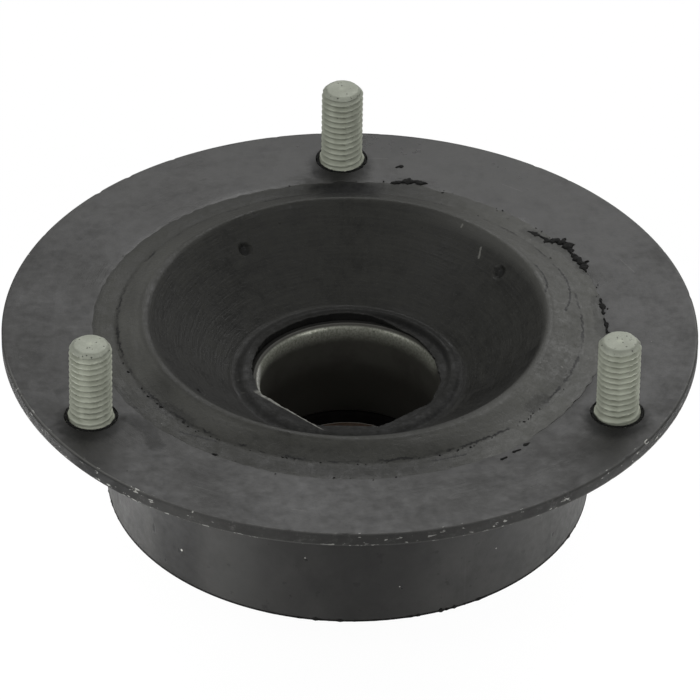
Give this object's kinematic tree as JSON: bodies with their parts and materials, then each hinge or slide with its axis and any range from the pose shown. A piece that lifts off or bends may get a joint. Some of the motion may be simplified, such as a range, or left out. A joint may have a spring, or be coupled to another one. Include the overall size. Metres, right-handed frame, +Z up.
{
  "type": "strut mount",
  "caption": "Round flanged top mount for a suspension strut: pressed steel shell with studs, bonded rubber cushion with a bowl, and a ball bearing in a steel cup.",
  "frame": {"origin": "on the bearing's axis at the lowest face of the bearing cup, which is the bottom centre of the whole part", "axes": "+Z up along the bearing's axis, through the bowl, the way the studs point; one stud lies towards +Y, and +X is to the right seen from the front"},
  "size_m": [0.132, 0.132, 0.0622],
  "materials": {
    "shell_paint": "satin black electrocoat with chips and scratches",
    "stud_plating": "dull grey-green plating",
    "rubber": "semi-matt moulded rubber",
    "cup_steel": "oiled drawn steel, bare at the rim",
    "bearing_steel": "ground bearing steel with a brown grease tint",
    "ball_steel": "polished",
    "cage_plastic": "natural moulded polyamide",
    "seal_rubber": "moulded seal rubber"
  },
  "bodies": {
    "mount": {"outer_shell": "shell_paint", "stud_back": "stud_plating", "stud_left": "stud_plating", "stud_right": "stud_plating", "rubber_body": "rubber", "bearing_cup": "cup_steel", "bearing_outer_ring": "bearing_steel", "upper_seal": "seal_rubber", "lower_seal": "seal_rubber"},
    "inner_ring": {"bearing_inner_ring": "bearing_steel"},
    "ball_set": {"ball_cage": "cage_plastic", "ball_1": "ball_steel", "ball_2": "ball_steel", "ball_3": "ball_steel", "ball_4": "ball_steel", "ball_5": "ball_steel", "ball_6": "ball_steel", "ball_7": "ball_steel", "ball_8": "ball_steel", "ball_9": "ball_steel"}
  },
  "joints": [
    {"name": "inner_ring_turn", "type": "hinge", "parent": "mount", "child": "inner_ring", "pos_m": [0, 0, 0.0075], "axis": [0, 0, 1], "continuous": true},
    {"name": "ball_set_turn", "type": "hinge", "parent": "mount", "child": "ball_set", "pos_m": [0, 0, 0.0075], "axis": [0, 0, 1], "continuous": true}
  ],
  "couplings": [
    {"joint": "ball_set_turn", "follows": "inner_ring_turn", "ratio": 0.3976}
  ]
}
